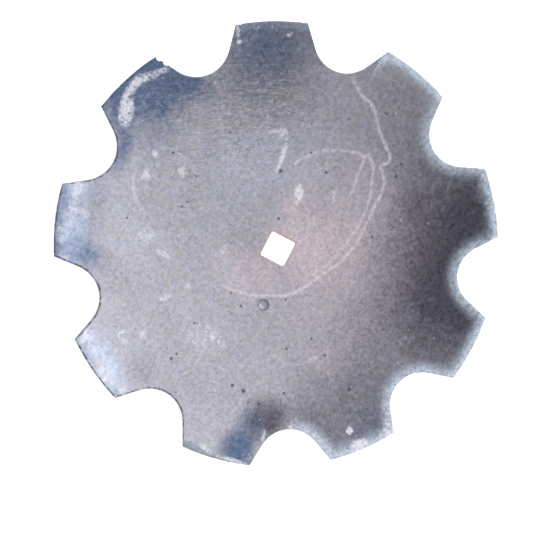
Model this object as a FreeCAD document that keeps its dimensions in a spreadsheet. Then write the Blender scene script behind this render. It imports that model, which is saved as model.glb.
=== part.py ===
import FreeCAD, Part
import Sketcher
import math
import os

# Harrow disc blade: a round steel plate pressed to a shallow bowl, with a flat centre, a square
# hole for the gang axle, scallops punched round the rim and a bevel ground along the cutting edge.
# Frame: Z is the disc's axis and points out of the bowl. The convex side of the flat centre lies
# on Z = 0, the sides of the square hole are parallel to X and Y, and +Y runs through a scallop.

doc = FreeCAD.newDocument("harrow_disc_blade")
sheet = doc.addObject("Spreadsheet::Sheet", "Sizes")


# ---------------------------------------------------------------- driving dimensions
# name, value (millimetres, degrees or a count) and what it measures
DIMENSIONS = [
    ("disc_diameter", 510.0, "over the lobes"),
    ("plate_thickness", 5.0, "pressed plate"),
    ("dish_radius", 570.0, "of the concave face"),
    ("flat_diameter", 60.0, "flat centre"),
    ("flat_blend_radius", 300.0, "rolls the flat centre into the dish"),
    ("bevel_width", 7.0, "ground band on the concave side of the lobes"),
    ("edge_land", 4.0, "thickness left at the rim"),
    ("square_hole", 33.0, "across the flats, for a 32 mm square axle"),
    ("hole_corner_radius", 2.5, "corner of the square punch"),
    ("notch_count", 9.0, "scallops round the rim"),
    ("notch_radius", 39.0, "round bottom of a scallop"),
    ("notch_depth", 45.0, "rim to scallop bottom, along the plate"),
    ("notch_flare", 36.0, "lean of a scallop's flank from its middle line"),
    ("punch_overrun", 15.0, "how far the scallop punch stands out past the rim"),
    ("mark_ball_radius", 15.0, "round of the hardness test's dimple"),
    ("mark_depth", 1.6, "dimple below the plate's face"),
    ("mark_distance", 70.0, "middle of the dimple's ball from the disc's axis"),
    ("mark_angle", 192.5, "dimple, turned from +X"),
    ("rim_nick_radius", 2.2, "half-round nicks knocked out of the cutting edge"),
    ("flank_nick_radius", 3.5, "half-round nicks along a scallop's flank"),
    ("flank_nick_bite", 1.6, "how deep a flank nick goes"),
    ("flank_nick_setback", 9.0, "rim to the first flank nick, along the plate"),
    ("flank_nick_pitch", 7.0, "from one flank nick to the next"),
]

size = {}
for row, (alias, value, note) in enumerate(DIMENSIONS, start=1):
    sheet.set("A%d" % row, alias)
    sheet.set("B%d" % row, "%g" % value)
    sheet.set("C%d" % row, note)
    sheet.setAlias("B%d" % row, alias)
    size[alias] = value
doc.recompute()


# ---------------------------------------------------------------- sketching
START, END, MIDDLE = range(1, 4)      # the points of a sketch edge
ORIGIN, UPRIGHT_AXIS = range(-1, -3, -1)  # the sketch's own origin and upright axis

body = doc.addObject("PartDesign::Body", "disc_blade")
body.Label = "disc_blade"


def origin_feature(role):
    """One of the body's own base planes or axes."""
    return [feature for feature in body.Origin.OriginFeatures if feature.Role == role][0]


def new_sketch(name, role):
    """An empty sketch on one of the body's base planes."""
    sketch = body.newObject("Sketcher::SketchObject", name)
    sketch.AttachmentSupport = [(origin_feature(role), "")]
    sketch.MapMode = "FlatFace"
    return sketch


def constrain(sketch, *constraints):
    """Add geometric constraints, each given as a tuple."""
    for constraint in constraints:
        sketch.addConstraint(Sketcher.Constraint(*constraint))


def dimension(sketch, name, expression, *constraint):
    """Add one dimension, name it and tie it to the sheet."""
    index = sketch.addConstraint(Sketcher.Constraint(*constraint))
    sketch.renameConstraint(index, name)
    sketch.setExpression("Constraints." + name, expression)


def point(x, y):
    return FreeCAD.Vector(x, y, 0.0)


def line(a, b):
    return Part.LineSegment(a, b)


def arc(middle, radius, angle_from, angle_to):
    return Part.ArcOfCircle(Part.Circle(middle, FreeCAD.Vector(0, 0, 1), radius), angle_from, angle_to)


def removed(feature, before):
    """A cut that points the wrong way takes nothing off and gives no error."""
    doc.recompute()
    if before - feature.Shape.Volume < 1.0:
        raise RuntimeError(feature.Name + " cuts nothing")
    return feature


# ---------------------------------------------------------------- the pressed and bevelled dish
# Half section in the YZ plane: out along the convex side, over the rim and the ground bevel, and
# back along the concave side. Both faces are spheres about one point of the axis, rolled into the
# flat centre by a blend about a second point.
rim_radius = size["disc_diameter"] / 2
flat_radius = size["flat_diameter"] / 2
outer_radius = size["dish_radius"] + size["plate_thickness"]
outer_blend = size["flat_blend_radius"]
inner_blend = outer_blend - size["plate_thickness"]
blend_lean = math.asin(flat_radius / (outer_radius - outer_blend))
rim_lean = math.asin(rim_radius / outer_radius)
bevel_lean = rim_lean - size["bevel_width"] / size["dish_radius"]
blend_centre = point(flat_radius, outer_blend)
dish_centre = point(0, outer_blend + math.sqrt((outer_radius - outer_blend) ** 2 - flat_radius ** 2))
DISH_CENTRE = ("Sizes.flat_blend_radius + sqrt((Sizes.dish_radius + Sizes.plate_thickness"
               " - Sizes.flat_blend_radius)^2 - (Sizes.flat_diameter / 2)^2)")


def on_dish(radius, lean):
    """Point of the section at a distance from the dish's centre and a lean from the axis."""
    return dish_centre + point(radius * math.sin(lean), -radius * math.cos(lean))


def leaning_arc(middle, radius, lean_from, lean_to):
    """Arc of the section, its ends given by their lean from straight below its middle."""
    return arc(middle, radius, lean_from - math.pi / 2, lean_to - math.pi / 2)


section = new_sketch("Section", "YZ_Plane")
rim_outside = on_dish(outer_radius, rim_lean)
rim_inside = on_dish(outer_radius - size["edge_land"], rim_lean)
SOLE, OUTER_BLEND, OUTER, LAND, BEVEL, INNER, INNER_BLEND, FLOOR, AXIS, RIM_RAY = section.addGeometry([
    line(point(0, 0), point(flat_radius, 0)),
    leaning_arc(blend_centre, outer_blend, 0, blend_lean),
    leaning_arc(dish_centre, outer_radius, blend_lean, rim_lean),
    line(rim_outside, rim_inside),
    line(rim_inside, on_dish(size["dish_radius"], bevel_lean)),
    leaning_arc(dish_centre, size["dish_radius"], blend_lean, bevel_lean),
    leaning_arc(blend_centre, inner_blend, 0, blend_lean),
    line(point(flat_radius, size["plate_thickness"]), point(0, size["plate_thickness"])),
    line(point(0, size["plate_thickness"]), point(0, 0)),
    line(dish_centre, rim_outside),
])
section.toggleConstruction(RIM_RAY)
constrain(
    section,
    ("Coincident", SOLE, START, ORIGIN, START),
    ("Horizontal", SOLE),
    ("Tangent", SOLE, END, OUTER_BLEND, START),
    ("Tangent", OUTER_BLEND, END, OUTER, START),
    ("Coincident", OUTER, END, LAND, START),
    ("Coincident", LAND, END, BEVEL, START),
    ("Coincident", BEVEL, END, INNER, END),
    ("Tangent", INNER, START, INNER_BLEND, END),
    ("Tangent", INNER_BLEND, START, FLOOR, START),
    ("Horizontal", FLOOR),
    ("Coincident", FLOOR, END, AXIS, START),
    ("Coincident", AXIS, END, SOLE, START),
    ("Vertical", AXIS),
    ("PointOnObject", OUTER, MIDDLE, UPRIGHT_AXIS),
    ("Coincident", INNER, MIDDLE, OUTER, MIDDLE),
    ("Coincident", INNER_BLEND, MIDDLE, OUTER_BLEND, MIDDLE),
    ("Coincident", RIM_RAY, START, OUTER, MIDDLE),
    ("Coincident", RIM_RAY, END, OUTER, END),
    ("PointOnObject", LAND, END, RIM_RAY),
)
dimension(section, "thickness", "Sizes.plate_thickness",
          "DistanceY", AXIS, END, AXIS, START, size["plate_thickness"])
dimension(section, "concave_radius", "Sizes.dish_radius",
          "Radius", INNER, size["dish_radius"])
dimension(section, "flat_radius", "Sizes.flat_diameter / 2",
          "DistanceX", ORIGIN, START, SOLE, END, flat_radius)
dimension(section, "blend_radius", "Sizes.flat_blend_radius",
          "Radius", OUTER_BLEND, outer_blend)
dimension(section, "rim_radius", "Sizes.disc_diameter / 2",
          "DistanceX", ORIGIN, START, OUTER, END, rim_radius)
dimension(section, "land", "Sizes.edge_land",
          "Distance", LAND, size["edge_land"])
dimension(section, "bevel", "Sizes.bevel_width",
          "Distance", BEVEL, size["bevel_width"])

dish = body.newObject("PartDesign::Revolution", "Dish")
dish.Profile = section
dish.ReferenceAxis = (section, ["V_Axis"])
dish.Angle = 360.0
doc.recompute()


# ---------------------------------------------------------------- the square axle hole
half_hole = size["square_hole"] / 2
corners = [point(half_hole, half_hole), point(-half_hole, half_hole),
           point(-half_hole, -half_hole), point(half_hole, -half_hole)]
square = new_sketch("AxleSquare", "XY_Plane")
BACK, LEFT, FRONT, RIGHT = square.addGeometry([
    line(corners[corner], corners[(corner + 1) % 4]) for corner in range(4)])
constrain(
    square,
    ("Coincident", BACK, END, LEFT, START),
    ("Coincident", LEFT, END, FRONT, START),
    ("Coincident", FRONT, END, RIGHT, START),
    ("Coincident", RIGHT, END, BACK, START),
    ("Horizontal", BACK),
    ("Vertical", LEFT),
    ("Horizontal", FRONT),
    ("Vertical", RIGHT),
    ("Equal", BACK, LEFT),
    ("Symmetric", BACK, START, FRONT, START, ORIGIN, START),
)
dimension(square, "across_flats", "Sizes.square_hole", "Distance", BACK, size["square_hole"])

axle_hole = body.newObject("PartDesign::Pocket", "AxleHole")
axle_hole.Profile = square
axle_hole.Type = "ThroughAll"
axle_hole.SideType = "Symmetric"
removed(axle_hole, dish.Shape.Volume)


def edges_where(shape, test):
    """Names of the edges that pass a test."""
    return ["Edge%d" % number for number, edge in enumerate(shape.Edges, start=1) if test(edge)]


def is_hole_corner(edge):
    """True on the four upright corners of the square hole."""
    middle = edge.CenterOfMass
    return (abs(abs(middle.x) - half_hole) < 0.01 and abs(abs(middle.y) - half_hole) < 0.01)


hole_corners = body.newObject("PartDesign::Fillet", "HoleCorners")
hole_corners.Base = (axle_hole, edges_where(axle_hole.Shape, is_hole_corner))
hole_corners.setExpression("Radius", "Sizes.hole_corner_radius")
doc.recompute()


# ---------------------------------------------------------------- the scallops
# Each is punched square to the plate, so its outline is drawn in the plane that touches the
# concave face at the rim. In that plane x runs along the rim and y runs outwards.
RIM_HEIGHT = DISH_CENTRE + " - sqrt(Sizes.dish_radius^2 - (Sizes.disc_diameter / 2)^2)"
RIM_TILT = "asin(Sizes.disc_diameter / 2 / Sizes.dish_radius)"


def rim_plane_sketch(name, scallops_on):
    """A sketch in the plane that touches the dish at the rim, in the middle of a scallop."""
    sketch = new_sketch(name, "XY_Plane")
    turned = "placement(vector(0; 0; 0); rotation(vector(0; 0; 1); 360 / Sizes.notch_count * %g))"
    tilted = "placement(vector(0; Sizes.disc_diameter / 2; %s); rotation(vector(1; 0; 0); %s))"
    sketch.setExpression("AttachmentOffset",
                         turned % scallops_on + " * " + tilted % (RIM_HEIGHT, RIM_TILT))
    doc.recompute()
    return sketch


flare = math.radians(size["notch_flare"])
bottom_middle = point(0, size["notch_radius"] - size["notch_depth"])
overrun = size["punch_overrun"]


def flank(y):
    """Point of the right-hand flank at a height in the rim plane."""
    x = size["notch_radius"] / math.cos(flare) + (y - bottom_middle.y) * math.tan(flare)
    return point(x, y)


arc_end = bottom_middle + point(size["notch_radius"] * math.cos(flare),
                                -size["notch_radius"] * math.sin(flare))
scallop = rim_plane_sketch("Scallop", 0)
BOTTOM, RIGHT_FLANK, LEFT_FLANK, MOUTH = scallop.addGeometry([
    arc(bottom_middle, size["notch_radius"], math.pi + flare, 2 * math.pi - flare),
    line(arc_end, flank(overrun)),
    line(point(-arc_end.x, arc_end.y), point(-flank(overrun).x, overrun)),
    line(point(-flank(overrun).x, overrun), flank(overrun)),
])
constrain(
    scallop,
    ("Tangent", BOTTOM, END, RIGHT_FLANK, START),
    ("Tangent", BOTTOM, START, LEFT_FLANK, START),
    ("Coincident", MOUTH, START, LEFT_FLANK, END),
    ("Coincident", MOUTH, END, RIGHT_FLANK, END),
    ("PointOnObject", BOTTOM, MIDDLE, UPRIGHT_AXIS),
    ("Symmetric", MOUTH, START, MOUTH, END, UPRIGHT_AXIS),
)
dimension(scallop, "bottom_radius", "Sizes.notch_radius", "Radius", BOTTOM, size["notch_radius"])
dimension(scallop, "bottom_middle", "Sizes.notch_depth - Sizes.notch_radius",
          "DistanceY", BOTTOM, MIDDLE, ORIGIN, START, size["notch_depth"] - size["notch_radius"])
dimension(scallop, "overrun", "Sizes.punch_overrun",
          "DistanceY", ORIGIN, START, MOUTH, END, overrun)
dimension(scallop, "opening_angle", "Sizes.notch_flare * 2 * 1deg",
          "Angle", RIGHT_FLANK, START, LEFT_FLANK, START, 2 * flare)

notch = body.newObject("PartDesign::Pocket", "Notch")
notch.Profile = scallop
notch.Type = "ThroughAll"
notch.SideType = "Symmetric"
removed(notch, hole_corners.Shape.Volume)

notches = body.newObject("PartDesign::PolarPattern", "Notches")
notches.Originals = [notch]
notches.Axis = (origin_feature("Z_Axis"), [""])
notches.Angle = 360.0
notches.setExpression("Occurrences", "Sizes.notch_count")
body.Tip = notches
removed(notches, notch.Shape.Volume)


# ---------------------------------------------------------------- the test dimple
# A shallow round dimple left in the concave face when the blade's hardness was tried. Its sketch
# stands in the upright plane through the disc's axis and the dimple, and holds a quarter of the
# ball that pressed it.
dimple = new_sketch("Dimple", "XZ_Plane")
dimple.AttachmentOffset = FreeCAD.Placement(
    FreeCAD.Vector(0, 0, 0), FreeCAD.Rotation(FreeCAD.Vector(0, 1, 0), 1.0))
dimple.setExpression("AttachmentOffset.Rotation.Angle", "Sizes.mark_angle")
doc.recompute()
ball_radius = size["mark_ball_radius"]
ball_reach = size["dish_radius"] + size["mark_depth"] - ball_radius
ball_lean = math.asin(size["mark_distance"] / ball_reach)
ball_middle = on_dish(ball_reach, ball_lean)
ball_bottom = on_dish(ball_reach + ball_radius, ball_lean)
ball_side = ball_middle + point(ball_radius * math.cos(ball_lean), ball_radius * math.sin(ball_lean))
MARK_AXIS, BALL, BALL_TOP, BALL_AXIS = dimple.addGeometry([
    line(dish_centre, ball_middle),
    leaning_arc(ball_middle, ball_radius, ball_lean, ball_lean + math.pi / 2),
    line(ball_side, ball_middle),
    line(ball_middle, ball_bottom),
])
dimple.toggleConstruction(MARK_AXIS)
constrain(
    dimple,
    ("PointOnObject", MARK_AXIS, START, UPRIGHT_AXIS),
    ("Coincident", MARK_AXIS, END, BALL, MIDDLE),
    ("Coincident", BALL_AXIS, START, BALL, MIDDLE),
    ("Coincident", BALL_AXIS, END, BALL, START),
    ("Coincident", BALL_TOP, START, BALL, END),
    ("Coincident", BALL_TOP, END, BALL, MIDDLE),
    ("Parallel", MARK_AXIS, BALL_AXIS),
    ("Perpendicular", BALL_TOP, BALL_AXIS),
)
dimension(dimple, "dish_centre", DISH_CENTRE,
          "DistanceY", ORIGIN, START, MARK_AXIS, START, dish_centre.y)
dimension(dimple, "ball_reach", "Sizes.dish_radius + Sizes.mark_depth - Sizes.mark_ball_radius",
          "Distance", MARK_AXIS, ball_reach)
dimension(dimple, "mark_distance", "Sizes.mark_distance",
          "DistanceX", ORIGIN, START, MARK_AXIS, END, size["mark_distance"])
dimension(dimple, "ball_radius", "Sizes.mark_ball_radius", "Radius", BALL, ball_radius)

test_dimple = body.newObject("PartDesign::Groove", "TestDimple")
test_dimple.Profile = dimple
test_dimple.ReferenceAxis = (dimple, ["Axis0"])
test_dimple.Angle = 360.0
removed(test_dimple, notches.Shape.Volume)


# ---------------------------------------------------------------- nicks from stones
# Half-round bites out of the cutting edge, and out of the flank of the scallop next to the first.
rim_nicks = new_sketch("RimNicks", "XY_Plane")
# scallop pitches on from the first scallop, where a half is a lobe's middle, and degrees from there
RIM_NICKS = [(3.5, -1.5), (5.5, 4.8), (7.5, 8.0)]
for number, (pitches, offset) in enumerate(RIM_NICKS, start=1):
    turn = 90 + 360 / size["notch_count"] * pitches + offset
    middle = point(rim_radius * math.cos(math.radians(turn)), rim_radius * math.sin(math.radians(turn)))
    NICK, ARM = rim_nicks.addGeometry([
        Part.Circle(middle, FreeCAD.Vector(0, 0, 1), size["rim_nick_radius"]),
        line(point(0, 0), middle),
    ])
    rim_nicks.toggleConstruction(ARM)
    constrain(
        rim_nicks,
        ("Coincident", ARM, START, ORIGIN, START),
        ("Coincident", ARM, END, NICK, MIDDLE),
    )
    dimension(rim_nicks, "turn%d" % number,
              "(90 + 360 / Sizes.notch_count * %g + %g) * 1deg" % (pitches, offset),
              "Angle", ARM, math.radians(turn))
    dimension(rim_nicks, "reach%d" % number, "Sizes.disc_diameter / 2", "Distance", ARM, rim_radius)
    dimension(rim_nicks, "radius%d" % number, "Sizes.rim_nick_radius",
              "Radius", NICK, size["rim_nick_radius"])

rim_nick_cuts = body.newObject("PartDesign::Pocket", "RimNickCuts")
rim_nick_cuts.Profile = rim_nicks
rim_nick_cuts.Type = "ThroughAll"
rim_nick_cuts.SideType = "Symmetric"
removed(rim_nick_cuts, test_dimple.Shape.Volume)

flank_nicks = rim_plane_sketch("FlankNicks", -1)
stand_off = size["flank_nick_radius"] - size["flank_nick_bite"]
for number in range(2):
    setback = size["flank_nick_setback"] + number * size["flank_nick_pitch"]
    SETBACK = "(Sizes.flank_nick_setback + %d * Sizes.flank_nick_pitch)" % number
    middle = flank(-setback) - point(stand_off, 0)
    middle.x = -middle.x
    NICK = flank_nicks.addGeometry(
        Part.Circle(middle, FreeCAD.Vector(0, 0, 1), size["flank_nick_radius"]))
    dimension(flank_nicks, "across%d" % number,
              "Sizes.notch_radius / cos(Sizes.notch_flare * 1deg)"
              " + (Sizes.notch_depth - Sizes.notch_radius - " + SETBACK + ")"
              " * tan(Sizes.notch_flare * 1deg)"
              " - Sizes.flank_nick_radius + Sizes.flank_nick_bite",
              "DistanceX", NICK, MIDDLE, ORIGIN, START, -middle.x)
    dimension(flank_nicks, "setback%d" % number, SETBACK,
              "DistanceY", NICK, MIDDLE, ORIGIN, START, setback)
    dimension(flank_nicks, "radius%d" % number, "Sizes.flank_nick_radius",
              "Radius", NICK, size["flank_nick_radius"])

flank_nick_cuts = body.newObject("PartDesign::Pocket", "FlankNickCuts")
flank_nick_cuts.Profile = flank_nicks
flank_nick_cuts.Type = "ThroughAll"
flank_nick_cuts.SideType = "Symmetric"
removed(flank_nick_cuts, rim_nick_cuts.Shape.Volume)


# ---------------------------------------------------------------- checks and export
for item in doc.Objects:
    if "Invalid" in item.State or "Error" in item.State:
        raise RuntimeError(item.Name + " failed: " + str(item.State))
shape = body.Shape
if shape.isNull() or not shape.isValid() or len(shape.Solids) != 1:
    raise RuntimeError("disc_blade is not one sound solid")
print("disc_blade: %.1f cm3, box %s" % (shape.Volume / 1000, shape.BoundBox))

os.makedirs("parts", exist_ok=True)
shape.exportStep("parts/" + body.Label + ".step")
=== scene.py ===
import math

import bmesh
import bpy
from mathutils import Euler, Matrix, Vector, kdtree, noise


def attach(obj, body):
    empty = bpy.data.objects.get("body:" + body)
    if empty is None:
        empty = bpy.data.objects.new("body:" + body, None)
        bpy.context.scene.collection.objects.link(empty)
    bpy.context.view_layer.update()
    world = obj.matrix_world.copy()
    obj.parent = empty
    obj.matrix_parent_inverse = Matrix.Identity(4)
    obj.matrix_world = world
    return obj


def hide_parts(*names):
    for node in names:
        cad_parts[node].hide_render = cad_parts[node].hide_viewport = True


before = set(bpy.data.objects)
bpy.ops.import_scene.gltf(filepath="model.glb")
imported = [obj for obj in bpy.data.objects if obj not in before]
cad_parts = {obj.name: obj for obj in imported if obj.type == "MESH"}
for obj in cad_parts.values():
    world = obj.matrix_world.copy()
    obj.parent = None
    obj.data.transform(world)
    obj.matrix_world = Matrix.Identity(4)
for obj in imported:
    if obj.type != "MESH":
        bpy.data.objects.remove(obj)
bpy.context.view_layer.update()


# ---------------------------------------------------------------- the floor and the light
# A pale floor that the blade lies on, big enough to be the backdrop too. It is matt and stays
# white to the eye and in the steel, and it keeps the blade's shadow.
def linear(hex_colour):
    """An sRGB hex colour as linear red, green, blue and alpha."""
    parts = [int(hex_colour[place:place + 2], 16) / 255 for place in (1, 3, 5)]
    return [part / 12.92 if part <= 0.04045 else ((part + 0.055) / 1.055) ** 2.4
            for part in parts] + [1.0]


def node(tree, kind, settings=None, **inputs):
    """Add a node with its settings; an input is a value or another node's output."""
    added = tree.nodes.new(kind)
    for name, value in (settings or {}).items():
        setattr(added, name, value)
    for name, value in inputs.items():
        place = int(name[1:]) if name[0] == "_" and name[1:].isdigit() else name.replace("_", " ")
        if isinstance(value, bpy.types.NodeSocket):
            tree.links.new(value, added.inputs[place])
        else:
            added.inputs[place].default_value = value
    return added


floor_size = 12.0
floor_paint = bpy.data.materials.new("matt_white_floor_paint")
floor_paint.use_nodes = True
tree = floor_paint.node_tree
tree.nodes.clear()
paint = node(tree, "ShaderNodeBsdfPrincipled", Base_Color=linear("#F2F2F2"), Roughness=0.9)
paint.inputs["Specular IOR Level"].default_value = 0.2
rays = node(tree, "ShaderNodeLightPath")
seen = node(tree, "ShaderNodeMath", {"operation": "ADD", "use_clamp": True},
            _0=rays.outputs["Is Camera Ray"], _1=rays.outputs["Is Glossy Ray"])
seen = node(tree, "ShaderNodeMath", {"operation": "ADD", "use_clamp": True},
            _0=seen.outputs[0], _1=rays.outputs["Is Transmission Ray"])
white_lift = 0.85  # what the paint's own light lacks to white
lift = node(tree, "ShaderNodeMath", {"operation": "MULTIPLY"}, _0=seen.outputs[0], _1=white_lift)
glow = node(tree, "ShaderNodeEmission", Color=(1, 1, 1, 1), Strength=lift.outputs[0])
both = node(tree, "ShaderNodeAddShader", _0=paint.outputs[0], _1=glow.outputs[0])
node(tree, "ShaderNodeOutputMaterial", Surface=both.outputs[0])

bm = bmesh.new()
bmesh.ops.create_grid(bm, x_segments=1, y_segments=1, size=floor_size / 2)
floor_mesh = bpy.data.meshes.new("floor")
bm.to_mesh(floor_mesh)
bm.free()
floor_mesh.materials.append(floor_paint)
floor = bpy.data.objects.new("floor", floor_mesh)
bpy.context.scene.collection.objects.link(floor)

# The camera looks down into the dish, a little from one side.
camera_turn = Euler([math.radians(angle) for angle in (-3.665, -3.579, -62.449)])
camera_place = Vector((-0.0038, -0.0328, 0.7))  # right, up and back from the blade's middle
lens = bpy.data.cameras.new("camera")
lens.sensor_width = 36.0
lens.lens = 36.72
camera = bpy.data.objects.new("camera", lens)
camera.rotation_euler = camera_turn
camera.location = camera_turn.to_matrix() @ camera_place
bpy.context.scene.collection.objects.link(camera)
bpy.context.scene.camera = camera


def soft_lamp(name, bearing, height, distance, size, watts):
    """A square soft box, given by its bearing round the axis and its height in degrees."""
    lamp = bpy.data.lights.new(name, "AREA")
    lamp.shape = "SQUARE"
    lamp.size = size
    lamp.energy = watts
    holder = bpy.data.objects.new(name, lamp)
    turn = math.radians(bearing)
    rise = math.radians(height)
    holder.location = Vector((math.cos(turn) * math.cos(rise), math.sin(turn) * math.cos(rise),
                              math.sin(rise))) * distance
    holder.rotation_euler = holder.location.to_track_quat("Z", "Y").to_euler()
    bpy.context.scene.collection.objects.link(holder)


soft_lamp("key_lamp", bearing=-35, height=40, distance=1.8, size=1.2, watts=42)

world = bpy.data.worlds.new("studio")
world.use_nodes = True
sky = world.node_tree.nodes["Background"]
sky.inputs["Color"].default_value = linear("#F4F6FA")
sky.inputs["Strength"].default_value = 0.33
bpy.context.scene.world = world
bpy.context.scene.view_settings.view_transform = "Standard"


# ---------------------------------------------------------------- the blade's shape
# One round of boron steel plate, cut to its scalloped outline, bevelled, pressed to a dish while
# hot and hardened. Its solid gets a mesh that is fine where use has left pits, lines and ragged
# edges, and its corners are rounded over as wear does.
mm = 0.001
plate = 5 * mm
dish_radius = 570 * mm    # of the concave face
flat_radius = 30 * mm     # of the flat centre
blend_radius = 300 * mm   # from the flat to the dish
rim_radius = 255 * mm
bevel_width = 7 * mm
hole_zone = 40 * mm       # what lies nearer to the axis belongs to the axle hole
outside_radius = dish_radius + plate
dish_middle = Vector((0, 0, blend_radius
                      + math.sqrt((outside_radius - blend_radius) ** 2 - flat_radius ** 2)))


def dish_height(radius, lift):
    """Height of a face at a distance from the axis: lift is 0 outside the dish, plate inside."""
    if radius < flat_radius:
        return lift
    face_radius = outside_radius - lift
    if radius < flat_radius * face_radius / (outside_radius - blend_radius):
        return blend_radius - math.sqrt((blend_radius - lift) ** 2 - (radius - flat_radius) ** 2)
    return dish_middle.z - math.sqrt(face_radius ** 2 - radius ** 2)


def is_inside(place):
    """Whether a place is nearer to the concave face than to the convex one."""
    return place.z > dish_height(min(place.xy.length, rim_radius), plate / 2)


# the hardness tester's dimple, pressed by a ball
ball_radius = 15 * mm
dimple_depth = 1.6 * mm
ball_reach = dish_radius + dimple_depth - ball_radius
ball_side = 70 * mm
ball_turn = math.radians(192.5)
ball_middle = dish_middle + Vector((ball_side * math.cos(ball_turn), ball_side * math.sin(ball_turn),
                                    -math.sqrt(ball_reach ** 2 - ball_side ** 2)))
dimple_middle = dish_middle + (ball_middle - dish_middle).normalized() * dish_radius
dimple_zone = 8 * mm

# dark pits in the concave face, as x, y and radius in mm
pits = (
    (33, 17, 1.9), (-52, -37, 1.6), (-84, 9, 1.7), (-75, 27, 1.4), (-88, 44, 1.0), (95, 116, 1.8),
    (42, 163, 1.5), (47, 156, 1.1), (85, 42, 2.6), (31, 128, 1.4), (-1, 124, 1.5), (-9, 127, 1.3),
    (-127, 50, 1.4), (-172, -25, 2.2), (-172, -40, 2.5), (-177, -63, 1.8), (-181, -51, 1.4),
    (-153, -85, 1.7), (-112, -153, 2.2), (109, -8, 1.9), (157, -82, 1.6), (142, -84, 1.8),
    (66, -95, 1.6), (57, -86, 1.2), (121, 19, 1.2), (-175, 55, 1.6), (-168, 52, 1.3),
    (-80, -87, 1.5), (-105, -65, 1.7), (-4, -158, 1.8), (198, -37, 1.8), (150, 35, 1.3),
    (-50, 175, 1.2), (-90, -110, 1.5), (60, -150, 1.4), (20, -185, 1.5), (100, 80, 1.1),
)

# water marks: the lines where puddles dried, each a strength and a run of x, y in mm
water_marks = (
    (1.0, ((213, 16), (207, 7), (202, -5), (200, -15), (192, -27), (180, -38), (170, -52),
           (160, -65), (152, -68), (145, -62), (135, -72), (125, -78), (100, -80), (75, -82),
           (50, -82), (25, -77), (0, -65), (-25, -52), (-45, -38), (-55, -20), (-65, 0),
           (-70, 20), (-72, 40))),
    (0.8, ((150, -42), (140, -55), (125, -62), (105, -70), (80, -74), (60, -73), (40, -70),
           (10, -62), (-10, -52))),
    (0.8, ((102, 30), (115, 22), (128, 10), (137, -5), (143, -20), (146, -38), (140, -41),
           (115, -45), (100, -48))),
    (0.9, ((82, 45), (94, 46), (104, 47), (115, 50), (125, 55), (129, 59), (124, 66), (118, 75))),
    (0.6, ((-38, 160), (-28, 173), (-15, 185), (0, 190))),
    (0.35, ((-123, -45), (-118, -60), (-121, -72), (-114, -88), (-104, -101), (-108, -115),
            (-105, -131))),
)
mark_steps = 12  # places drawn between two chosen points


def drawn(line):
    """A mark's points, closer together and rounded off between the chosen ones."""
    for number in range(len(line) - 1):
        before, start, end, after = (Vector(line[min(max(number + step, 0), len(line) - 1)])
                                     for step in (-1, 0, 1, 2))
        for part in range(mark_steps):
            t = part / mark_steps
            yield (start + (end - before) * t / 2
                   + (2 * before - 5 * start + 4 * end - after) * t ** 2 / 2
                   + (3 * start - before - 3 * end + after) * t ** 3 / 2) * mm


def finder(places):
    """A search tree over places."""
    tree = kdtree.KDTree(len(places))
    for number, place in enumerate(places):
        tree.insert(place, number)
    tree.balance()
    return tree


def flattened(place):
    """A place's x and y, as the pits and water marks are laid out."""
    return Vector((place.x, place.y, 0))


pit_tree = finder([Vector((x, y, 0)) * mm for x, y, radius in pits])
mark_tree = finder([spot.to_3d() for strength, line in water_marks for spot in drawn(line)])

# the solid's own mesh, merged, with its corners worn round
weld_gap = 0.4 * mm
sharp_corner = math.radians(25)
worn_corner = 0.35 * mm
skin = bmesh.new()
skin.from_mesh(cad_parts["disc_blade"].data)
bmesh.ops.remove_doubles(skin, verts=skin.verts, dist=weld_gap)
corners = [edge for edge in skin.edges
           if edge.is_manifold and edge.calc_face_angle() > sharp_corner]
cut_places = []
for edge in corners:
    start, end = (corner.co for corner in edge.verts)
    if (start - dimple_middle).length > 10 * mm:
        steps = max(1, round(edge.calc_length() / mm))
        cut_places += [start.lerp(end, step / steps) for step in range(steps)]
cut_tree = finder(cut_places)
bmesh.ops.bevel(skin, geom=corners, offset=worn_corner, offset_type="OFFSET", affect="EDGES",
                segments=2, profile=0.5, material=-1, clamp_overlap=True)
bmesh.ops.dissolve_degenerate(skin, dist=0.01 * mm, edges=skin.edges)


def edge_length(place):
    """The mesh size wanted at a place: finest at the pits, dimple, water marks and cut edges."""
    at_edge = 1.8 * mm + 0.35 * cut_tree.find(place)[2]
    if not is_inside(place):
        return min(at_edge, 9 * mm)
    at_mark = 1.5 * mm + 0.3 * mark_tree.find(flattened(place))[2]
    at_pit = 0.7 * mm + 0.45 * max(0, pit_tree.find(flattened(place))[2] - 2 * mm)
    at_dimple = 1 * mm + 0.4 * max(0, (place - dimple_middle).length - dimple_zone)
    return min(4.8 * mm, at_edge, at_mark, at_pit, at_dimple)


for longest in (24, 12, 6, 3.4, 2.4, 1.8, 1.2, 0.8):
    wide = [edge for edge in skin.edges
            if edge.calc_length() > longest * mm
            and edge.calc_length() > edge_length((edge.verts[0].co + edge.verts[1].co) / 2)]
    bmesh.ops.subdivide_edges(skin, edges=wide, cuts=1, use_grid_fill=True)
    bmesh.ops.triangulate(skin, faces=skin.faces, quad_method="BEAUTY", ngon_method="BEAUTY")

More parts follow.
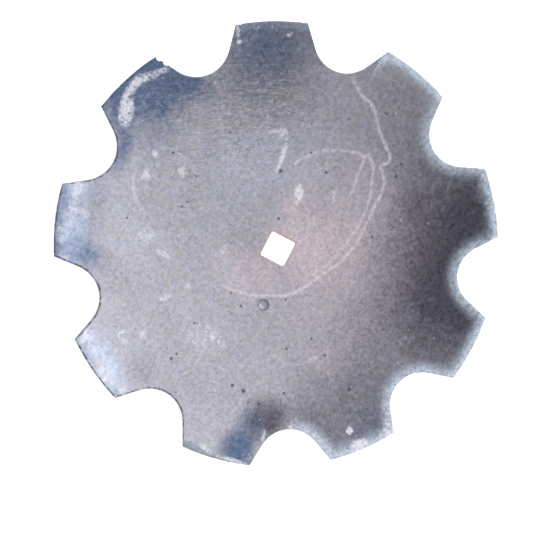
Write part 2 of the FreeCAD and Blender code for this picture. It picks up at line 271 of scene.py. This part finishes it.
# The dish's faces are laid on their true round, then pitted and left a little uneven, and the cut
# edges are left ragged.
bevel_start = dish_radius * math.sin(math.asin(rim_radius / outside_radius)
                                     - bevel_width / dish_radius)
cut_edge = 0.7 * mm       # what lies nearer to a cut edge is left where it is, but for the rag
facet_gap = 0.25 * mm     # the most that a flat facet stands off the true round
uneven_depth = 0.13 * mm
uneven_span = 70 * mm
pit_depth = 0.35 * mm
rag_at_rim = 0.2 * mm
rag_at_hole = 0.1 * mm
for corner in skin.verts:
    place = corner.co
    radius = place.xy.length
    inside = is_inside(place)
    edge_gap = cut_tree.find(place)[2]
    from_ball = place - ball_middle
    if edge_gap > cut_edge and radius < (bevel_start if inside else rim_radius - mm):
        if inside and abs(from_ball.length - ball_radius) < 0.3 * mm:
            place = ball_middle + from_ball.normalized() * ball_radius
        elif (place - dimple_middle).length > dimple_zone or not inside:
            rise = dish_height(radius, plate if inside else 0) - place.z
            if abs(rise) < facet_gap:
                place.z += rise
        up = (dish_middle - place).normalized()
        sag = uneven_depth * noise.noise(place / uneven_span)
        if inside:
            spot, number, gap = pit_tree.find(flattened(place))
            depth = 1 - (gap / (pits[number][2] * mm)) ** 2
            sag -= pit_depth * max(0, depth) ** 1.5
        place += up * sag
    elif edge_gap < cut_edge:
        outward = flattened(place).normalized()
        rag = rag_at_rim if radius > hole_zone else rag_at_hole
        chips = noise.noise(place / (4 * mm)) + 0.6 * noise.noise(place / (15 * mm))
        place += outward * rag * chips
    corner.co = place
bmesh.ops.recalc_face_normals(skin, faces=skin.faces)
for face in skin.faces:
    face.smooth = True


# ---------------------------------------------------------------- the blade's stains and painted light
# What the furnace, rain and soil have left on the plate, and some painted shade, glow and sky
# reflection besides. Each kind is painted on the mesh as a covering from 0 to 1, in soft-edged
# ovals: x, y, half length and half width in mm, the bearing of the length in degrees, and the strength.
ovals = {
    # dark furnace scale at one lobe and in patches, and painted shade that darkens one side of the dish
    "scale_and_painted_shade": (
        (105, -182, 170, 118, 20, 0.86), (0, -235, 275, 172, 0, 0.52),
        (-150, -160, 110, 90, 20, 0.36), (-190, -78, 34, 40, 40, 1.0), (-232, -60, 24, 28, 0, 0.75),
        (-165, -125, 30, 40, 0, 0.25), (-200, 80, 26, 26, 0, 0.20), (-120, 160, 30, 26, 0, 0.14),
        (120, -120, 30, 32, 0, 0.20), (-15, -140, 60, 40, 0, 0.15), (195, -80, 85, 90, 0, 0.28),
        (192, 112, 95, 85, 0, 0.56), (110, 180, 80, 55, -30, 0.22), (-190, 40, 90, 110, 0, 0.16),
        (-140, 130, 80, 70, 0, 0.08),
    ),
    # blue oxide where the steel was tempered hottest
    "temper_blue": (
        (95, 210, 66, 42, -32, 0.95), (122, 186, 26, 48, 0, 0.85), (62, 192, 56, 36, 0, 0.35),
        (62, 236, 48, 20, 8, 0.70),
        (20, 213, 44, 14, 12, 0.75), (108, 230, 48, 20, -38, 0.7),
        (-110, 200, 24, 40, 10, 0.75), (-85, 232, 76, 26, 24, 1.0), (-60, 212, 66, 24, 20, 0.25),
        (-232, -62, 23, 26, 0, 0.80), (-212, -64, 34, 26, 0, 0.50), (-195, 140, 64, 24, 56, 0.28),
        (188, 128, 66, 56, 30, 0.42), (205, 105, 64, 34, -60, 0.35), (-135, -192, 50, 26, -20, 0.22),
    ),
    # a pale blue-white wash: partly thin lime, partly painted reflection of the sky on the dish's steep
    # walls
    "lime_and_painted_sheen": (
        (-208, 126, 66, 24, 56, 1.0), (-80, 226, 84, 22, 22, 0.60), (-35, 238, 24, 20, 0, 0.35),
        (70, 80, 60, 50, -50, 0.25), (110, 30, 60, 60, 0, 0.2), (-10, 195, 60, 30, 0, 0.12),
    ),
    # chalky lime and dried soil, in flakes
    "lime": (
        (58, 226, 25, 10, 14, 1.3), (86, 229, 20, 7, -14, 1.1), (103, 219, 18, 6, -38, 0.9),
        (116, 208, 10, 5, -50, 0.7), (-72, 227, 28, 9, 18, 0.62), (-46, 234, 13, 9, 0, 0.7),
        (-66, 216, 16, 7, 20, 0.5), (-98, 227, 22, 9, 28, 0.55), (-120, 213, 9, 10, 0, 0.6),
        (-206, 128, 60, 14, 56, 0.30), (-220, 112, 22, 8, 62, 0.75), (-226, 87, 7, 7, 0, 1.0),
        (-178, 115, 14, 5, 60, 0.7), (-170, 120, 12, 4, 110, 0.6), (-190, 152, 14, 9, 20, 0.8),
        (-245, -28, 12, 6, 85, 0.8), (-243, -62, 34, 3.5, 100, 1.0), (-153, -172, 5.5, 5.5, 0, 1.5),
        (-162, -188, 15, 9, 140, 1.4), (-132, -211, 20, 7, 32, 1.1), (4, 178, 10, 10, 0, 0.8),
        (30, 180, 9, 7, 0, 0.6), (28, 144, 9, 9, 0, 0.6), (-58, 147, 16, 14, 0, 0.62),
        (-70, 120, 16, 6, 82, 0.7), (-115, 95, 10, 6, -40, 0.65), (-163, 97, 10, 7, 0, 0.65),
        (70, 8, 18, 9, 20, 0.75), (191, 155, 16, 4, 30, 0.7), (186, 147, 12, 3, -52, 0.6),
        (218, 104, 5, 5, 0, 0.7), (244, -4, 6, 6, 0, 1.0), (-92, 77, 7, 6, 0, 0.6),
        (-184, -110, 7, 5, 0, 0.8), (-205, -84, 13, 5, 20, 0.7), (105, 50, 20, 5, 8, 0.4),
        (-140, 40, 34, 20, 60, 0.30), (0, 105, 14, 5, 20, 0.5), (-30, 60, 20, 8, 20, 0.4),
        (-130, 60, 140, 130, 0, 0.08), (88, -31, 16, 8, 20, 0.5), (110, 2, 14, 6, 30, 0.35),
        (76, 12, 8, 8, 0, 0.5), (125, 62, 12, 7, 0, 0.6), (98, 47, 22, 5, 6, 0.5),
        (-130, 20, 26, 12, 70, 0.4), (-100, -100, 20, 8, -60, 0.35),
    ),
    # a thin bloom of fresh rust round the axle hole and where puddles stood
    "rust_bloom": (
        (18, -18, 90, 60, -15, 0.85), (-48, 22, 40, 60, 0, 0.60), (62, 10, 50, 30, 10, 0.50),
        (0, -62, 130, 50, -5, 0.40), (75, -60, 120, 50, 8, 0.35), (30, -115, 170, 70, 0, 0.38),
        (125, -20, 60, 70, 0, 0.20), (-95, -110, 26, 40, 0, 0.30), (-150, 30, 30, 40, 0, 0.2),
    ),
    # fine scuffs from stones and dry soil
    "scuffed": (
        (95, 125, 150, 105, -55, 1.0), (165, 60, 110, 80, -60, 0.5), (-190, -20, 60, 40, -60, 0.3),
    ),
}


def covering(x, y, spots):
    """How strongly soft-edged ovals cover a place."""
    total = 0.0
    for middle_x, middle_y, half_length, half_width, bearing, strength in spots:
        east, north = x - middle_x, y - middle_y
        if max(abs(east), abs(north)) < max(half_length, half_width):
            turn = math.radians(bearing)
            along = (east * math.cos(turn) + north * math.sin(turn)) / half_length
            across = (north * math.cos(turn) - east * math.sin(turn)) / half_width
            total += strength * max(0.0, 1 - along * along - across * across) ** 1.5
    return total


def fade(value, start, end):
    """A soft step from 1 at start to 0 at end."""
    step = min(1.0, max(0.0, (value - end) / (start - end)))
    return step * step * (3 - 2 * step)


# the coverings that follow the shape: in mm from a mark, pit or edge, and degrees from +X
mark_strengths = [strength for strength, line in water_marks for spot in drawn(line)]
dimple_rim = 6.4
amounts = {kind: [] for kind in list(ovals) + ["water_mark", "pit", "painted_edge_glow", "ground_bevel",
                                               "dark_edge_line", "hole_rust", "dimple_painted_shade", "outside"]}
for corner in skin.verts:
    place = corner.co
    inside = 1.0 if is_inside(place) else 0.0
    x, y = place.x / mm, place.y / mm
    bearing = math.degrees(math.atan2(y, x)) % 360
    edge_gap = cut_tree.find(place)[2] / mm
    at_hole = 1.0 if place.xy.length < hole_zone else 0.0
    dimple_gap = (place - dimple_middle).length / mm
    for kind, spots in ovals.items():
        amounts[kind].append(inside * covering(x, y, spots))
    spot, number, gap = mark_tree.find(flattened(place))
    amounts["water_mark"].append(inside * mark_strengths[number] * math.exp(-(gap / (2 * mm)) ** 2))
    spot, number, gap = pit_tree.find(flattened(place))
    pit_radius = pits[number][2]
    amounts["pit"].append(inside * fade(gap / mm, 0.4 * pit_radius, 1.4 * pit_radius))
    # painted glow: a pale blue-white band along the cut edges on one side of the blade
    amounts["painted_edge_glow"].append((1 - at_hole) * fade(edge_gap, 0, 20) ** 1.6
                                  * fade(abs(bearing - 290), 70, 85))
    amounts["ground_bevel"].append(inside * fade(place.xy.length, rim_radius - 6 * mm,
                                                 bevel_start - 2 * mm))
    # a thin dark line along the cut edges on one side of the blade
    amounts["dark_edge_line"].append((1 - at_hole) * fade(edge_gap, 0.6, 2.6)
                                 * fade(abs(bearing - 120), 55, 65))
    amounts["hole_rust"].append(at_hole * fade(edge_gap, 0.5, 3.5) * fade(-x - y, -8, 20))
    # painted shade: a dark ring on the dimple's sloping rim and a little over its floor
    amounts["dimple_painted_shade"].append(inside * max(fade(abs(dimple_gap - dimple_rim), 0.3, 1.8),
                                               0.35 * fade(dimple_gap, 5, 7)))
    amounts["outside"].append(1 - inside)

blade_mesh = bpy.data.meshes.new("worn_blade")
skin.to_mesh(blade_mesh)
skin.free()
for kind, values in amounts.items():
    blade_mesh.attributes.new(kind, "FLOAT", "POINT").data.foreach_set("value", values)


# ---------------------------------------------------------------- the blade's steel
# Hardened boron steel, hot-pressed, tempered and left bare. Its thin oxide makes it a dull grey
# metal, mottled at the size of the scale's grains, that goes from pale to violet-black and blue.
# Part of the violet-black is painted shade, and the coats carry painted glow and reflection too.
steel = bpy.data.materials.new("boron_steel_quenched_and_tempered")
steel.use_nodes = True
tree = steel.node_tree
tree.nodes.clear()
place = node(tree, "ShaderNodeTexCoord").outputs["Object"]

# cloudy oxide over the whole plate, as clouds of a size in mm between two levels of the noise,
# each drifting to a colour at most so far; the finest are drawn at 6 to 9 mm, coarser than they are
colour = linear("#A6A5B0")
for size, weakest, strongest, hex_colour, most in (
        (60, 0.35, 0.70, "#B9BAC7", 0.50), (26, 0.40, 0.70, "#9A98A2", 0.30),
        (9, 0.48, 0.66, "#B5A6AE", 0.35), (7, 0.48, 0.66, "#A8A893", 0.40),
        (6, 0.48, 0.66, "#9FA2C0", 0.40)):
    clouds = node(tree, "ShaderNodeTexNoise", Vector=place, Scale=1 / (size * mm), Detail=3.0,
                  Roughness=0.7)
    amount = node(tree, "ShaderNodeMapRange", _0=clouds.outputs["Fac"], _1=weakest, _2=strongest,
                  _4=most)
    colour = node(tree, "ShaderNodeMix", {"data_type": "RGBA"}, _0=amount.outputs[0],
                  _6=colour, _7=linear(hex_colour)).outputs[2]
grain = node(tree, "ShaderNodeTexNoise", Vector=place, Scale=1 / (4.5 * mm), Detail=4.0,
             Roughness=0.85)
metallic = 0.5
roughness = node(tree, "ShaderNodeMapRange", _0=grain.outputs["Fac"], _1=0.3, _2=0.7,
                 _3=0.42, _4=0.60).outputs[0]

# one coat after another: the covering's name, its colour, the size of its flakes in mm, how much
# they break it up, the covering at which it starts and is full, its depth, metallic and roughness
coats = (
    ("outside", "#6E6F78", 20, 0.8, 0.0, 1.0, 0.8, 0.5, 0.55),
    # the dark covering: furnace scale, with painted shade over one side of the dish
    ("scale_and_painted_shade", "#434150", 14, 0.5, 0.0, 1.0, 0.94, 0.35, 0.55),
    ("rust_bloom", "#CDB9BF", 8, 1.5, 0.0, 1.4, 0.80, 0.2, 0.7),
    ("ground_bevel", "#98A4B6", 16, 1.6, 0.0, 1.0, 0.50, 0.6, 0.4),
    ("temper_blue", "#4A6184", 7, 1.4, 0.0, 1.0, 0.88, 0.5, 0.45),
    # painted glow along the cut edges on one side of the blade
    ("painted_edge_glow", "#CFDAE9", 12, 0.4, 0.0, 1.0, 0.90, 0.3, 0.45),
    ("water_mark", "#DAD0D8", 7, 2.0, 0.12, 0.95, 0.62, 0.1, 0.8),
    # painted shade in the dimple's ring and over its floor
    ("dimple_painted_shade", "#6A6975", 3, 0.6, 0.1, 0.8, 0.75, 0.1, 0.8),
    ("hole_rust", "#C39A88", 4, 2.0, 0.1, 0.9, 0.65, 0.1, 0.8),
    # partly thin lime, partly painted sky reflection
    ("lime_and_painted_sheen", "#C9D2EA", 12, 1.3, 0.0, 1.0, 0.78, 0.2, 0.6),
    ("lime", "#DDDDE7", 5, 2.4, 0.20, 0.90, 0.85, 0.0, 0.85),
    ("pit", "#3E3C49", 2, 0.4, 0.0, 0.9, 0.78, 0.2, 0.8),
    # a thin dark line along the cut edges on one side
    ("dark_edge_line", "#3C3C4A", 5, 4.0, 0.45, 1.0, 0.75, 0.1, 0.8),
)
relief = node(tree, "ShaderNodeMath", {"operation": "MULTIPLY"},
              _0=grain.outputs["Fac"], _1=0.5).outputs[0]
for name, hex_colour, flake, breakup, start, full, depth, coat_metallic, coat_roughness in coats:
    laid = node(tree, "ShaderNodeAttribute", {"attribute_name": name})
    flakes = node(tree, "ShaderNodeTexNoise", Vector=place, Scale=1 / (flake * mm), Detail=5.0,
                  Roughness=0.7)
    broken = node(tree, "ShaderNodeMath", {"operation": "MULTIPLY_ADD"},
                  _0=flakes.outputs["Fac"], _1=2 * breakup, _2=1 - breakup)
    laid = node(tree, "ShaderNodeMath", {"operation": "MULTIPLY"},
                _0=laid.outputs["Fac"], _1=broken.outputs[0])
    cover = node(tree, "ShaderNodeMapRange", _0=laid.outputs[0], _1=start, _2=full, _4=depth).outputs[0]
    colour = node(tree, "ShaderNodeMix", {"data_type": "RGBA"}, _0=cover, _6=colour,
                  _7=linear(hex_colour)).outputs[2]
    metallic = node(tree, "ShaderNodeMix", _0=cover, _2=metallic, _3=coat_metallic).outputs[0]
    roughness = node(tree, "ShaderNodeMix", _0=cover, _2=roughness, _3=coat_roughness).outputs[0]
    if name == "lime":
        relief = node(tree, "ShaderNodeMath", {"operation": "ADD"}, _0=relief, _1=cover).outputs[0]

# scuffs 1 to 2 mm wide, which run across the dish
scuff_place = node(tree, "ShaderNodeMapping", {"vector_type": "TEXTURE"}, Vector=place,
                   Rotation=(0, 0, math.radians(-57)), Scale=(15 * mm, 2.4 * mm, 1))
scuffs = node(tree, "ShaderNodeTexNoise", Vector=scuff_place.outputs[0], Scale=1.0, Detail=4.0,
              Roughness=0.75, Distortion=1.6)
scuffed = node(tree, "ShaderNodeAttribute", {"attribute_name": "scuffed"})
for weakest, strongest, hex_colour, most in ((0.52, 0.70, "#4E4E60", 0.50),
                                             (0.48, 0.32, "#D8D7E0", 0.45)):
    lines = node(tree, "ShaderNodeMapRange", _0=scuffs.outputs["Fac"], _1=weakest, _2=strongest, _4=most)
    lines = node(tree, "ShaderNodeMath", {"operation": "MULTIPLY"},
                 _0=lines.outputs[0], _1=scuffed.outputs["Fac"])
    colour = node(tree, "ShaderNodeMix", {"data_type": "RGBA"}, _0=lines.outputs[0], _6=colour,
                  _7=linear(hex_colour)).outputs[2]

# small pits and pale specks, scattered: their spacing and radius in mm, and the share drawn
for spacing, radius, share, hex_colour, most in ((11, 1.2, 0.35, "#45434E", 0.50),
                                                 (23, 1.3, 0.30, "#DDDDE4", 0.45)):
    cells = node(tree, "ShaderNodeTexVoronoi", {"voronoi_dimensions": "2D"}, Vector=place,
                 Scale=1 / (spacing * mm))
    speck = node(tree, "ShaderNodeMapRange", _0=cells.outputs["Distance"], _1=radius / spacing,
                 _2=0.3 * radius / spacing, _4=most)
    chosen = node(tree, "ShaderNodeMath", {"operation": "GREATER_THAN"},
                  _0=cells.outputs["Color"], _1=1 - share)
    speck = node(tree, "ShaderNodeMath", {"operation": "MULTIPLY"},
                 _0=speck.outputs[0], _1=chosen.outputs[0])
    colour = node(tree, "ShaderNodeMix", {"data_type": "RGBA"}, _0=speck.outputs[0], _6=colour,
                  _7=linear(hex_colour)).outputs[2]

# the scale's grain, drawn at 4.5 mm and down, coarser than it is, shows most where the dark scale and
# painted shade lie
dark_cover = node(tree, "ShaderNodeAttribute", {"attribute_name": "scale_and_painted_shade"})
contrast = node(tree, "ShaderNodeMapRange", _0=dark_cover.outputs["Fac"], _3=1.45, _4=3.0)
grains = node(tree, "ShaderNodeMath", {"operation": "SUBTRACT"}, _0=grain.outputs["Fac"], _1=0.5)
grains = node(tree, "ShaderNodeMath", {"operation": "MULTIPLY_ADD"},
              _0=grains.outputs[0], _1=contrast.outputs[0], _2=1.0)
colour = node(tree, "ShaderNodeMix", {"data_type": "RGBA", "blend_type": "MULTIPLY"}, _0=1.0,
              _6=colour, _7=grains.outputs[0]).outputs[2]

uneven = node(tree, "ShaderNodeBump", Strength=0.6, Distance=0.08 * mm, Height=relief)
shader = node(tree, "ShaderNodeBsdfPrincipled", Base_Color=colour, Metallic=metallic,
              Roughness=roughness, Normal=uneven.outputs[0])
node(tree, "ShaderNodeOutputMaterial", Surface=shader.outputs[0])
blade_mesh.materials.append(steel)

worn_blade = bpy.data.objects.new("worn_blade", blade_mesh)
bpy.context.scene.collection.objects.link(worn_blade)
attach(worn_blade, "root")
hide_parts("disc_blade")
